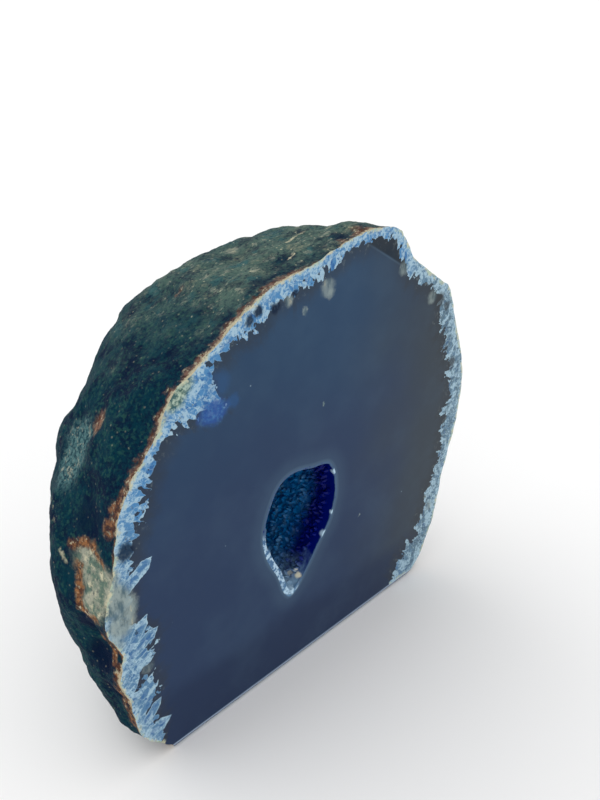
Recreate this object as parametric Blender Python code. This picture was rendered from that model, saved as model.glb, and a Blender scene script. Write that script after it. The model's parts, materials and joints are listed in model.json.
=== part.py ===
"""Blue agate half geode: half of a dyed agate nodule, sawn, polished and stood on a ground flat.

Metres, +Z up. The polished face looks towards -Y and the natural rind bulges towards +Y. The origin is
the middle of the object's bounding box, at the level of the ground base.

The stone is one solid. The quartz crust that lines its hollow is the other.
"""

import math
import random

import bmesh
import bpy
from mathutils import Matrix, Vector, noise

MM = 0.001
NEAR = 1e-6  # a point as near as this to a saw cut counts as on it

# The sawn face
CORE_HEIGHT = 46 * MM  # the core point of the face, above the base
# The rind's edge on the sawn face, (across, up) in mm from the core. What is below the base is ground away.
RIM = [
    (-42.5, -46), (-47, -41.5), (-51, -36), (-53, -25), (-54.5, -19), (-53, -13), (-55.5, -6), (-55, 0),
    (-53, 6), (-52, 13), (-49.5, 18.5), (-45, 25), (-41, 30), (-37.5, 36), (-33, 38), (-27, 42),
    (-20, 46), (-13.5, 49), (-8, 50), (-2, 51), (4, 52.5), (10, 53.5), (15.5, 54), (21, 53.2),
    (25, 51), (26.5, 48.5), (28.5, 45), (33, 41.5), (38, 38), (42.5, 35), (45, 31), (46.5, 25.5),
    (49, 19.5), (51, 12), (52, 6), (51.5, -2), (50, -10), (47.5, -17), (46, -24), (44.5, -30.5),
    (42.3, -36.5), (39.5, -42), (34, -46), (25, -53), (13, -59), (-2, -61), (-17, -60), (-30, -56),
    (-37, -51.5),
]

# The rind behind the face
STONE_DEPTH = 50 * MM  # from the polished face to the back
LEFT_BULGE = 0.03  # how much the left side widens behind the face
TOP_TAPER = 0.10  # how much the top draws in behind the face
ROUNDED_AT = 0.35  # the share of the depth at which the rim's corners have faded from the rind
ROUNDING = 26  # degrees of turn over which they are evened out
BACK_SHIFT = -3.5 * MM  # how far the back's summit lies to the left of the core
BACK_RISE = 15 * MM  # how far the back's summit lies above the core
STONE_CUTS = 31  # the cuts across each side of the cube that the nodule is blown up from

# Broad lumps (+) and dents (-) of the rind: turn about the core and tilt back from the face, both in
# degrees, then their radius and height in mm. Turn 0 is the right side and 90 the top.
LUMPS = [
    (-164, 30, 11, 0.6),
    (-172, 17, 6, 0.7),
    (-146, 15, 7, 1.0),
    (168, 33, 7, -0.7),
    (163, 38, 7, 1.2),
    (154, 42, 5, -1.6),
    (148, 42, 13, 0.5),
    (133, 50, 7, -0.4),
    (122, 42, 9, 0.8),
    (104, 38, 9, 1.3),
    (78, 16, 7, 0.9),
    (112, 64, 14, -1.0),
    (30, 35, 16, 1.4),
    (0, 45, 15, -1.2),
    (-30, 40, 14, 1.2),
    (60, 66, 13, 1.3),
    (-60, 58, 16, -1.0),
    (-120, 62, 15, 1.1),
    (170, 64, 12, -1.0),
]
# The crest of a broken ledge down the left side, in the same terms.
LUMPS += [
    (170, 26, 3.2, 0.8),
    (175, 23.5, 3.2, 0.9),
    (180, 21, 3.2, 0.9),
    (-176, 18, 3.2, 0.8),
]
# Pits and spalls with steep sides, in the same terms, with their depth in mm.
PITS = [
    (159, 25, 6.2, 1.0),
    (150, 18, 2.6, 0.6),
    (167, 14, 6.0, 1.2),
    (178, 7, 4.4, 0.8),
    (-179, 13, 3.2, 0.7),
    (-171, 7, 3.2, 1.4),
    (-163, 7, 3.6, 1.4),
    (-154, 7, 2.6, 1.0),
    (118, 30, 4.0, 0.9),
    (96, 20, 3.2, 0.7),
    (74, 52, 5.5, 1.2),
    (38, 28, 4.6, 1.1),
    (14, 20, 4.0, 1.2),
    (-8, 54, 6.0, 1.3),
    (-34, 24, 4.8, 1.2),
    (132, 70, 5.4, 1.1),
    (-100, 76, 6.2, 1.2),
    (-150, 48, 5.0, 1.1),
]
SWELL = (26 * MM, 1.3 * MM)  # the rind's slow unevenness, wavelength and height
KNOBS = (9 * MM, 0.8 * MM)
GRIT = (4.2 * MM, 0.45 * MM)
LEDGES = (15 * MM, 0.8 * MM)  # low terraces that run round the nodule
LEDGE_SLANT = 0.35  # how far they slant towards the right, as a share of the way across
LEDGE_WAVE = 0.4  # how far they wander, as a share of their wavelength
LEDGE_FALL = 4  # how many times as fast a terrace falls as it rises
PIT_WALL = 4.5  # how steep the wall of a pit is
RELIEF_START = (3.1, 9.7)  # where the rind's unevenness starts in the noise
LEDGE_START = (7, 3, 1)  # and where the terraces' fading does
RELIEF_AT_RIM = 0.2  # the share of the relief that is left at the sawn rim
RELIEF_FADE = 0.12  # the share of the depth over which it grows to the whole

FOOT_BEVEL = (0.7 * MM, 1.3 * MM)  # the bevel between the face and the base: its width on each, base first
NEAR_BASE = 0.7 * MM  # points this near the base are let down onto it, so that no sliver is left

# The hollow in the face
HOLLOW_MIDDLE = (-7 * MM, 37 * MM)  # across from the core, up from the base
# The hollow's mouth, (across, up) in mm from its own middle.
MOUTH = [
    (9.95, 13.7), (11.9, 10.1), (12.4, 6.7), (12.4, 3.3), (11.5, 0.5), (10.5, -2.5), (8.5, -4.9),
    (6.4, -7.6), (4.6, -10.1), (2.6, -12.5), (0.6, -14.9), (-1.1, -16.6), (-2.74, -17.3), (-4.2, -15.6),
    (-5.1, -12.4), (-6.5, -8.6), (-8.3, -5.2), (-10.0, -0.5), (-10.6, 2.1), (-10.3, 5.5), (-9.6, 8.3),
    (-8.4, 10.9), (-6.7, 13.9), (-4.1, 15.8), (-0.6, 16.2), (4.8, 14.8),
]
HOLLOW_DEPTH = 19 * MM
HOLLOW_BOXINESS = 0.35  # 0 for a rounded floor, and more for a flatter one with steeper sides
HOLLOW_CUTS = 9  # the cuts across each side of the cube that the hollow is blown up from
FIT_GAP = 0.3 * MM  # between the stone and the crust, all round

# The quartz crust of the hollow
CRUST_THICKNESS = 1.3 * MM
CRYSTAL_COUNT = 60
CRYSTAL_SEED = 5
CRYSTAL_RADIUS = (1.2 * MM, 2.1 * MM)
CRYSTAL_HEIGHT = (1.3 * MM, 2.6 * MM)  # how far a crystal stands out of the crust
CRYSTAL_LEAN = 14  # degrees
CRYSTAL_ROOT = 0.7 * MM  # how deep its foot is sunk in the crust
CRYSTAL_SHOULDER = 0.3  # the share of its height at which its point begins
CRYSTAL_AIM = (0.35, 0.3, 0.45)  # where it points: shares of its foot's place, and of the hollow's depth
FEET_WITHIN = 0.4  # the share of the crust's thickness, from the stone, that no foot comes into
MOUTH_CLEAR = 2.3 * MM  # no crystal starts nearer to the polished face

# Colour and roughness of each finish
FINISHES = {
    "polished agate": ((0.035, 0.062, 0.118, 1), 0.12),
    "blue quartz": ((0.012, 0.045, 0.16, 1), 0.15),
}
SHARP_ANGLE = 38  # degrees: a fold of the rind sharper than this is drawn as an edge


def clear_scene():
    """Empties the startup scene."""
    for thing in list(bpy.data.objects):
        bpy.data.objects.remove(thing, do_unlink=True)


def new_collection(name):
    """A collection linked to the scene."""
    made = bpy.data.collections.new(name)
    bpy.context.scene.collection.children.link(made)
    return made


def new_material(name):
    """A plain finish for one piece."""
    colour, roughness = FINISHES[name]
    made = bpy.data.materials.new(name)
    made.use_nodes = True
    shader = made.node_tree.nodes["Principled BSDF"]
    shader.inputs["Base Color"].default_value = colour
    shader.inputs["Roughness"].default_value = roughness
    shader.inputs["Metallic"].default_value = 0.0
    return made


def new_object(name, bm, collection, material=None):
    """An object made of a bmesh, which is used up."""
    mesh = bpy.data.meshes.new(name)
    bm.to_mesh(mesh)
    bm.free()
    made = bpy.data.objects.new(name, mesh)
    collection.objects.link(made)
    if material:
        mesh.materials.append(material)
    return made


def helper(thing):
    """Marks a cutter, which shapes another object and is not a piece itself."""
    thing.hide_render = True
    thing.display_type = "WIRE"
    return thing


def around(outline):
    """The radius of a closed outline round its middle, as a smooth function of the turn in radians."""
    known = sorted((math.atan2(up, across), math.hypot(across, up) * MM) for across, up in outline)
    count = len(known)

    def radius(turn):
        turn = (turn + math.pi) % math.tau - math.pi
        last = next((i for i in range(count) if known[i][0] > turn), 0) - 1
        before, start, end, after = (known[(last + step) % count][1] for step in (-1, 0, 1, 2))
        begin = known[last % count][0]
        span = (known[(last + 1) % count][0] - begin) % math.tau
        share = ((turn - begin) % math.tau) / span
        slope_in, slope_out = (end - before) / 2, (after - start) / 2
        return (
            start
            + slope_in * share
            + (3 * (end - start) - 2 * slope_in - slope_out) * share**2
            + (2 * (start - end) + slope_in + slope_out) * share**3
        )

    return radius


def evened(radius, spread):
    """The same outline with its corners evened out over a spread of turn."""
    steps = 12

    def even_radius(turn):
        return sum(radius(turn + spread * (step / steps - 0.5)) for step in range(steps + 1)) / (steps + 1)

    return even_radius


def smoothly(share):
    """0 to 1 with a soft start and end."""
    share = min(1.0, max(0.0, share))
    return share * share * (3 - 2 * share)


def towards(turn, tilt):
    """The direction from the core at a turn round it and a tilt back from the face, in degrees."""
    turn, tilt = math.radians(turn), math.radians(tilt)
    return Vector((math.cos(turn) * math.cos(tilt), math.sin(tilt), math.sin(turn) * math.cos(tilt)))


def bell(distance, radius):
    """1 at the middle of a lump, falling to nothing at twice its radius."""
    return math.exp(-((distance / radius) ** 2))


def bowl(distance, radius):
    """1 over the floor of a pit, with a steep wall at its radius."""
    return (1 - math.tanh(PIT_WALL * (distance / radius - 1))) / 2


def terraces(place):
    """Low steps round the nodule, from -1 to 1, that fade in and out."""
    wavelength = LEDGES[0]
    bent = place.y + LEDGE_SLANT * place.x + wavelength * LEDGE_WAVE * noise.noise(place / wavelength)
    step = bent / wavelength % 1
    edge = min(step, LEDGE_FALL * (1 - step))
    return edge * (0.5 + noise.noise(place / (2 * wavelength) + Vector(LEDGE_START)))


def rind_relief(place):
    """How far the rind stands out at a point of the smooth nodule, in metres."""
    height = 0.0
    for wavelength, size in (SWELL, KNOBS, GRIT):
        height += size * noise.noise(place / wavelength + Vector((*RELIEF_START, wavelength / MM)))
    height += LEDGES[1] * terraces(place)
    for turn, tilt, radius, rise in LUMPS:
        height += rise * MM * bell((place - smooth_rind(towards(turn, tilt))).length, radius * MM)
    for turn, tilt, radius, depth in PITS:
        height -= depth * MM * bowl((place - smooth_rind(towards(turn, tilt))).length, radius * MM)
    return height


def smooth_rind(direction):
    """Where a direction from the core meets the nodule before its relief, in metres from the core."""
    turn = math.atan2(direction.z, direction.x)
    flat, back = math.hypot(direction.x, direction.z), direction.y
    left, top = max(0.0, -math.cos(turn)), max(0.0, math.sin(turn))
    swell = 1 + 4 * back * (1 - back) * (LEFT_BULGE * left - TOP_TAPER * top)
    rounded = smoothly(back / ROUNDED_AT)
    radius = (RIM_RADIUS(turn) * (1 - rounded) + ROUNDED_RADIUS(turn) * rounded) * flat * swell
    rise = BACK_RISE * back * (1 + flat * math.sin(turn)) / 2
    return Vector(
        (
            radius * math.cos(turn) + BACK_SHIFT * back,
            STONE_DEPTH * back,
            radius * math.sin(turn) + rise,
        )
    )


def rough_rind(direction):
    """Where a direction from the core meets the rind. Points on the face's plane stay on it."""
    place = smooth_rind(direction)
    fade = RELIEF_AT_RIM + (1 - RELIEF_AT_RIM) * smoothly(direction.y / RELIEF_FADE)
    return place + direction * rind_relief(place) * fade


def cube_ball(cuts):
    """The directions of a cube cut into squares and blown up to a ball, as a bmesh. An odd number of
    cuts leaves a loop of edges round its middle."""
    bm = bmesh.new()
    bmesh.ops.create_cube(bm, size=2)
    bmesh.ops.subdivide_edges(bm, edges=bm.edges[:], cuts=cuts, use_grid_fill=True)
    for vert in bm.verts:
        spaced = Vector(math.tan(side * math.pi / 4) for side in vert.co)
        vert.co = spaced.normalized()
    return bm


def delete_front(bm):
    """Takes away the half of a ball in front of the face's plane, and leaves its rim open."""
    front = [vert for vert in bm.verts if vert.co.y < -NEAR]
    bmesh.ops.delete(bm, geom=front, context="VERTS")


def open_edges(bm):
    """The edges at which a mesh is still open."""
    return [edge for edge in bm.edges if edge.is_boundary]


def grind(bm, point, outward):
    """Cuts the stone off flat at a plane through a point, and closes it."""
    everything = bm.verts[:] + bm.edges[:] + bm.faces[:]
    outward = Vector(outward).normalized()
    bmesh.ops.bisect_plane(
        bm, geom=everything, dist=NEAR, plane_co=point, plane_no=outward, clear_outer=True
    )
    bmesh.ops.contextual_create(bm, geom=open_edges(bm))


def make_stone(collection):
    """The sawn half nodule: the rind, the polished face, the ground base and the bevel between them.
    The face's plane is y = 0 here."""
    bm = cube_ball(STONE_CUTS)
    delete_front(bm)
    for vert in bm.verts:
        vert.co = rough_rind(vert.co) + Vector((0, 0, CORE_HEIGHT))
    bmesh.ops.contextual_create(bm, geom=open_edges(bm))
    for vert in bm.verts:
        if abs(vert.co.z) < NEAR_BASE:
            vert.co.z = 0.0
    grind(bm, (0, 0, 0), (0, 0, -1))
    back, up = FOOT_BEVEL
    grind(bm, (0, back, 0), (0, -up, -back))
    bmesh.ops.recalc_face_normals(bm, faces=bm.faces[:])
    return new_object("agate", bm, collection, new_material("polished agate"))


def hollow_wall(direction, inset):
    """Where a direction from the hollow's middle meets its wall, less an inset all round."""
    turn = math.atan2(direction.z, direction.x)
    flat = math.hypot(direction.x, direction.z)
    boxy = max(flat, abs(direction.y)) ** HOLLOW_BOXINESS
    radius = (MOUTH_RADIUS(turn) - inset) * flat / boxy
    depth = (HOLLOW_DEPTH - inset) * direction.y / boxy
    return Vector((radius * math.cos(turn), depth, radius * math.sin(turn)))


def make_hollow(name, inset, collection):
    """A closed ball of the hollow's shape, half of it in front of the polished face."""
    bm = cube_ball(HOLLOW_CUTS)
    for vert in bm.verts:
        vert.co = hollow_wall(vert.co, inset) + Vector((HOLLOW_MIDDLE[0], 0, HOLLOW_MIDDLE[1]))
    bmesh.ops.recalc_face_normals(bm, faces=bm.faces[:])
    return new_object(name, bm, collection)


def add_boolean(thing, operation, other):
    """A Boolean with one object."""
    made = thing.modifiers.new(operation.lower(), "BOOLEAN")
    made.operation = operation
    made.solver = "EXACT"
    made.object = other
    return made


def apply_modifiers(thing):
    """Turns an object's evaluated shape into its own mesh."""
    graph = bpy.context.evaluated_depsgraph_get()
    shaped = bpy.data.meshes.new_from_object(thing.evaluated_get(graph))
    thing.modifiers.clear()
    thing.data = shaped


def spread(count):
    """Directions into the back half of a ball, evenly spread along a spiral."""
    golden = math.pi * (3 - math.sqrt(5))
    for index in range(count):
        back = (index + 0.5) / count
        flat = math.sqrt(1 - back * back)
        yield Vector((flat * math.cos(index * golden), back, flat * math.sin(index * golden)))


def add_crystal(bm, direction, chance):
    """A six-sided quartz point that grows from the crust towards the hollow's middle."""
    foot = hollow_wall(direction, FIT_GAP + CRUST_THICKNESS)
    if foot.y < MOUTH_CLEAR:
        return
    radius = chance.uniform(*CRYSTAL_RADIUS)
    height = chance.uniform(*CRYSTAL_HEIGHT)
    across, back, up = CRYSTAL_AIM
    aim = Vector((foot.x * across, HOLLOW_DEPTH * back, foot.z * up))
    lean = math.sin(math.radians(CRYSTAL_LEAN))
    growth = (aim - foot).normalized() + Vector(chance.uniform(-lean, lean) for _ in range(3))
    turned = growth.to_track_quat("Z", "Y").to_matrix().to_4x4()
    turned = turned @ Matrix.Rotation(chance.uniform(0, math.tau), 4, "Z")
    at_middle = Vector((HOLLOW_MIDDLE[0], 0, HOLLOW_MIDDLE[1]))
    place = Matrix.Translation(foot + at_middle) @ turned
    shoulder = height * CRYSTAL_SHOULDER
    corners = [Matrix.Rotation(math.tau * side / 6, 3, "Z") @ Vector((radius, 0, 0)) for side in range(6)]
    low = [bm.verts.new(place @ (corner + Vector((0, 0, -CRYSTAL_ROOT)))) for corner in corners]
    high = [bm.verts.new(place @ (corner + Vector((0, 0, shoulder)))) for corner in corners]
    point = bm.verts.new(place @ Vector((0, 0, height)))
    bm.faces.new(reversed(low))
    for side in range(6):
        after = (side + 1) % 6
        bm.faces.new((low[side], low[after], high[after], high[side]))
        bm.faces.new((high[side], high[after], point))


def crystal_points():
    """Every crystal of the crust as its own closed point, in one bmesh."""
    bm = bmesh.new()
    chance = random.Random(CRYSTAL_SEED)
    for direction in spread(CRYSTAL_COUNT):
        add_crystal(bm, direction, chance)
    return bm


def saw_off_front(thing):
    """Cuts a closed mesh off at the polished face and closes the cut."""
    bm = bmesh.new()
    bm.from_mesh(thing.data)
    everything = bm.verts[:] + bm.edges[:] + bm.faces[:]
    bmesh.ops.bisect_plane(
        bm, geom=everything, dist=NEAR, plane_co=(0, 0, 0), plane_no=(0, -1, 0), clear_outer=True
    )
    bmesh.ops.triangle_fill(bm, use_beauty=True, use_dissolve=False, edges=open_edges(bm))
    bmesh.ops.recalc_face_normals(bm, faces=bm.faces[:])
    bm.to_mesh(thing.data)
    bm.free()


def make_crust(collection, cutters):
    """The quartz crust: a thin shell against the hollow's wall with its crystals grown together on it."""
    crust = make_hollow("crystal_crust", FIT_GAP, collection)
    crust.data.materials.append(new_material("blue quartz"))
    room = make_hollow("crust_room", FIT_GAP + CRUST_THICKNESS, cutters)
    limit = make_hollow("crystal_limit", FIT_GAP + CRUST_THICKNESS * FEET_WITHIN, cutters)
    points = new_object("crystal_points", crystal_points(), cutters)
    add_boolean(points, "INTERSECT", limit).use_self = True
    apply_modifiers(points)
    add_boolean(crust, "DIFFERENCE", room)
    apply_modifiers(crust)
    saw_off_front(crust)
    add_boolean(crust, "UNION", points)
    apply_modifiers(crust)
    for thing in (room, limit, points):
        helper(thing)
    return crust


def stand_on_origin(pieces):
    """Moves every mesh so that the middle of the pieces' bounding box, at base level, is the origin."""
    corners = [vert.co for piece in pieces if not piece.hide_render for vert in piece.data.vertices]
    middle = [(min(c[axis] for c in corners) + max(c[axis] for c in corners)) / 2 for axis in (0, 1)]
    for piece in pieces:
        piece.data.transform(Matrix.Translation((-middle[0], -middle[1], 0)))


def main():
    clear_scene()
    geode = new_collection("blue agate half geode")
    cutters = new_collection("cutters")
    stone = make_stone(geode)
    hollow = helper(make_hollow("hollow", 0.0, cutters))
    add_boolean(stone, "DIFFERENCE", hollow)
    apply_modifiers(stone)
    crust = make_crust(geode, cutters)
    stand_on_origin([stone, crust, *cutters.objects])
    stone.data.shade_smooth()
    stone.data.set_sharp_from_angle(angle=math.radians(SHARP_ANGLE))


RIM_RADIUS = around(RIM)
ROUNDED_RADIUS = evened(RIM_RADIUS, math.radians(ROUNDING))
MOUTH_RADIUS = around(MOUTH)

main()
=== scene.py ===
"""Blue agate half geode, dressed: the polished face with its crystal edge band, the rough dyed rind, the ground
foot, and the quartz that lines the hollow.

Metres, +Z up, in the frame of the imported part: the polished face looks towards -Y and the origin is under the
middle of the stone. Sizes that are easier to read in millimetres are given as so many times MM.
"""

import json
import math

import bmesh
import bpy
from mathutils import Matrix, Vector
from mathutils.kdtree import KDTree

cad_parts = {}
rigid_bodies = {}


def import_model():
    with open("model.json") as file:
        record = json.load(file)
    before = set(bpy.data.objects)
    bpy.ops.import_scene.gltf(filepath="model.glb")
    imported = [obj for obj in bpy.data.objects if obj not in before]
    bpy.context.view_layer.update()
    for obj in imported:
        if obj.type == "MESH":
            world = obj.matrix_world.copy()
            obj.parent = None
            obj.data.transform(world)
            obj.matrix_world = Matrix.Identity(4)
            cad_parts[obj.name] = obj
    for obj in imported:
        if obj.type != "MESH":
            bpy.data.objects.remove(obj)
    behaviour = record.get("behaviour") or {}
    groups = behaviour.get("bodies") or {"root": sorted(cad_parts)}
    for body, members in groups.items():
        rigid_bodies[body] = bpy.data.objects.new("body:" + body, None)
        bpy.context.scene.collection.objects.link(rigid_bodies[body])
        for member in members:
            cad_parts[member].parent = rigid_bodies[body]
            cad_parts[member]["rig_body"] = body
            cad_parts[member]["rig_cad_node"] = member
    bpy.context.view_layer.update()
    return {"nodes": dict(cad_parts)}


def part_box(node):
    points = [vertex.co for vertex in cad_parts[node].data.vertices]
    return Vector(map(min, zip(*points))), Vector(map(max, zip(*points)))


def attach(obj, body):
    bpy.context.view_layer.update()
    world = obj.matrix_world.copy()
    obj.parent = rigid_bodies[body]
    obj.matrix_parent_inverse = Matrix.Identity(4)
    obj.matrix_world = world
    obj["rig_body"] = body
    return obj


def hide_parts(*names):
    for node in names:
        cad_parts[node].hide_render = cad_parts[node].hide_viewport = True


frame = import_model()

bl_info = {
    "name": "Blue Agate Half Geode",
    "version": (1, 0, 0),
    "blender": (4, 5, 0),
    "location": "View3D > Sidebar > Geode",
    "description": "Dresses the packed half geode with its fine surface, its crystals and its finishes",
    "category": "Object",
}

MM = 0.001
STONE_LOW, STONE_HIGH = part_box("agate")
CRUST_LOW, CRUST_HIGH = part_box("crystal_crust")
FACE_Y = STONE_LOW.y
CORE = Vector((2.5 * MM, FACE_Y, 46 * MM))  # the point of the face that turns are measured about
RING_RADIUS = 52 * MM  # the mean radius of the face, which turns degrees into a length round it
BEVEL_BACK = 0.7 * MM  # the ground bevel's width on the base
BEVEL_UP = 1.3 * MM  # and on the face
BEVEL_OUTWARD = Vector((0, -BEVEL_UP, -BEVEL_BACK)).normalized()
RIND_GROUP = "rind"  # the vertex group of what takes the rind's relief
CREST_GROUP = "crest"  # the vertex group of the thick quartz low on the left of the hollow
CREST_SLANT = 0.6  # that quartz lies where x and this share of z together are less than
CREST_OUTER = 11 * MM
CREST_INNER = 7.5 * MM
NEAR_CUT = 1e-7  # a point as near as this to a saw cut counts as on it
OFF_GRID = 0.037  # keeps the face's grid off the points of the mesh

CAMERA_PLACE = (-111.44 * MM, -131.17 * MM, 149.46 * MM)
CAMERA_TURN = (math.radians(62), 0, math.radians(-45.487))
SUN_TURN = (math.radians(-35), math.radians(-20), 0)

# The width in mm of the crystal band by the turn in degrees clockwise round the core, from straight down.
BAND_WIDTHS = [
    (48, 0.0), (53, 4.8), (67, 5.8), (75, 7.0), (81, 5.4), (88, 3.6), (94, 4.0), (101, 4.6), (107, 5.2),
    (115, 3.2), (122, 2.6), (127, 2.6), (131, 7.4), (134, 11.5), (139, 10.5), (142, 2.3), (148, 2.8), (159, 5.6), (166, 4.4),
    (175, 3.2), (192, 2.4), (206, 2.0), (214, 3.4), (228, 3.6), (235, 5.6), (253, 6.2), (273, 6.6), (284, 4.2),
    (299, 5.0), (309, 6.2), (318, 8.4), (329, 0.0),
]  # fmt: skip
BAND_MOST = 16  # the width in mm that stands for 1 in the band's ramp

# The largest crystals of the band: root and tip as (across, up) from the core, and the width, all in mm.
BLADES = [
    ((-52.0, 1.0), (-44.8, 5.6), 2.8), ((-52.0, 4.0), (-50.2, 8.2), 2.2), ((-52.3, -13.4), (-47.2, -6.6), 2.6),
    ((-52.0, -14.5), (-45.1, -11.0), 2.8), ((-51.0, -17.5), (-46.3, -15.8), 2.4), ((-50.0, -33.0), (-46.0, -29.0), 2.4),
    ((-49.5, -37.0), (-43.9, -35.7), 3.2),
]  # fmt: skip

# Spots on the face: colour, place as (across, behind the face, up) from the foot of the core, radius, strength.
FACE_SPOTS = [
    # The gap spots are painted shade in small open gaps beside the crystals.
    ("gap", (-50.3, 0, 55.4), 2.0, 0.9), ("gap", (-19.2, 0, 90.2), 1.2, 0.9), ("gap", (-16.9, 0, 91.6), 1.2, 0.95),
    ("gap", (-12.8, 0, 90.9), 1.3, 0.95), ("gap", (-7.4, 0, 92.6), 0.8, 0.9), ("gap", (-49.8, 0, 36.6), 0.5, 0.7),
    ("smoke", (39.6, 0, 77.9), 2.0, 0.8), ("smoke", (46.9, 0, 59.6), 1.5, 0.8), ("smoke", (42.6, 0, 75.6), 1.2, 0.7),
    ("milk", (-54.1, 0, 46.4), 4.0, 1.0), ("milk", (-53.0, 0, 40.4), 3.2, 0.9), ("milk", (-54.5, 0, 51.0), 2.6, 0.9),
    ("milk", (-50.8, 0, 43.5), 2.2, 0.8), ("milk", (-54.8, 0, 36.0), 2.2, 0.6),
    ("milk", (-9.3, 0, 91.3), 1.2, 0.6), ("milk", (-5.0, 0, 88.0), 0.9, 0.6), ("milk", (1.4, 0, 91.0), 2.0, 0.6),
    ("milk", (2.2, 0, 89.6), 1.2, 0.4), ("milk", (25.3, 0, 89.1), 1.6, 0.6), ("milk", (36.4, 0, 79.5), 1.6, 0.6),
    ("milk", (-40.5, 0, 78.3), 1.6, 0.5), ("milk", (-48.3, 0, 26.4), 1.4, 0.45), ("milk", (41.9, 0, 19.5), 1.5, 0.4),
    ("milk", (0.5, 0, 65.5), 0.35, 1.0), ("milk", (13.6, 0, 30.8), 0.35, 1.0), ("milk", (40.1, 0, 23.0), 0.5, 0.6),
    ("band_deep", (-27.5, 0, 80.3), 3.0, 0.25), ("cobalt", (-28.8, 0, 75.2), 2.7, 0.9),
    ("cobalt", (-26.8, 0, 75.4), 1.9, 0.6), ("cobalt", (-31.2, 0, 74.8), 1.8, 0.5),
    ("band_deep", (-24.0, 0, 75.6), 1.5, 0.35), ("lichen", (-37.4, 0, 81.4), 2.8, 0.9),
    ("lichen", (-34.8, 0, 82.8), 2.0, 0.8), ("lichen", (-54.6, 0, 52.6), 1.8, 0.8),
]  # fmt: skip

# Patches of the rind, in the same way.
RIND_SPOTS = [
    ("chip", (-44.8, 20.5, 67.0), 5.2, 0.9), ("chip", (-47.5, 21.5, 62.5), 4.6, 0.9),
    ("rust", (-43.0, 15.6, 72.4), 2.5, 1.0), ("navy", (-51.3, 8.6, 58.6), 4.4, 0.7),
    ("rust", (-51.6, 2.4, 60.0), 1.8, 0.7),
    ("buff", (-53.8, 6.8, 50.4), 4.6, 1.0), ("buff", (-54.3, 2.4, 48.4), 4.6, 1.0),
    ("buff", (-55.6, 4.0, 44.2), 3.6, 1.0), ("teal", (-55.4, 11.6, 46.6), 2.4, 0.9),
    ("navy", (-55.2, 6.6, 38.2), 3.2, 0.9), ("navy", (-53.9, 6.0, 29.6), 3.8, 0.9),
    ("navy", (-53.4, 5.4, 21.0), 2.8, 0.8), ("navy", (8.3, 3.9, 99.2), 1.9, 0.7), ("navy", (-13.0, 3.6, 95.0), 1.9, 0.6),
    ("navy", (2.4, 3.4, 98.1), 1.6, 0.5), ("buff", (-3.0, 22.9, 94.4), 1.6, 0.55),
    ("rust", (12.6, 2.6, 100.0), 1.5, 0.6), ("rust", (7.0, 1.6, 99.4), 1.2, 0.6),
]  # fmt: skip

# Glints in the hollow, in the same way.
GLINTS = [
    ("cream", (-5.9, 1.0, 23.6), 0.8, 0.95), ("cream", (-6.1, 1.4, 24.6), 0.7, 0.8), ("cream", (-6.5, 3.0, 23.4), 0.7, 0.5), ("pale", (4.6, 0.2, 47.4), 0.8, 0.9),
    ("pale", (4.1, 0.2, 36.6), 0.6, 0.9), ("pale", (1.4, 0.2, 31.9), 0.9, 0.9),
]  # fmt: skip

# Lines on the rind: colour, half width, strength and the points along each, in the same way.
RIND_LINES = [
    ("cream", 0.45, 0.6, [(-49.4, 24.0, 57.3), (-53.4, 17.7, 52.8), (-55.1, 13.4, 49.0)]),
    ("rust", 0.9, 0.9, [(-53.9, 12.1, 52.7), (-52.9, 8.7, 54.4), (-52.6, 5.5, 54.4), (-53.0, 3.2, 52.8)]),
    ("rust", 0.9, 0.9, [(-54.2, 10.0, 49.4), (-55.6, 8.8, 45.0), (-56.3, 7.6, 42.0), (-55.8, 3.7, 41.2)]),
    ("rust", 0.7, 0.9, [(-54.8, 3.4, 38.0), (-54.4, 5.6, 34.6), (-53.6, 2.6, 33.4), (-53.4, 2.2, 28.0)]),
    ("rust", 0.7, 0.9, [(-53.6, 2.2, 26.4), (-53.2, 2.4, 19.2), (-52.0, 2.0, 12.0)]),
    ("cream", 0.35, 0.8, [(-11.6, 9.0, 94.4), (-9.4, 10.0, 95.0)]),
    ("cream", 0.3, 0.8, [(-3.4, 6.2, 96.6), (-0.6, 7.0, 97.0)]),
    ("cream", 0.35, 0.7, [(3.0, 12.6, 97.0), (7.4, 12.4, 98.2)]),
    ("rust", 0.35, 0.6, [(-20.0, 20.6, 89.8), (-14.0, 21.6, 91.6)]),
]


def display(value):
    """A colour of 0-255 display values, as the linear colour that a material takes."""
    return tuple(((v / 255 + 0.055) / 1.055) ** 2.4 if v > 10 else v / 255 / 12.92 for v in value) + (1.0,)


def colour(name, description, value):
    """A colour property, with its default given as 0-255 display values."""
    return bpy.props.FloatVectorProperty(
        name=name, description=description, default=display(value), size=4, min=0, max=1, subtype="COLOR"
    )


def length(name, description, value):
    """A length property in metres."""
    return bpy.props.FloatProperty(name=name, description=description, default=value, min=0, unit="LENGTH")


def power(name, description, value):
    """The strength of a light."""
    return bpy.props.FloatProperty(name=name, description=description, default=value, min=0)


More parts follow.
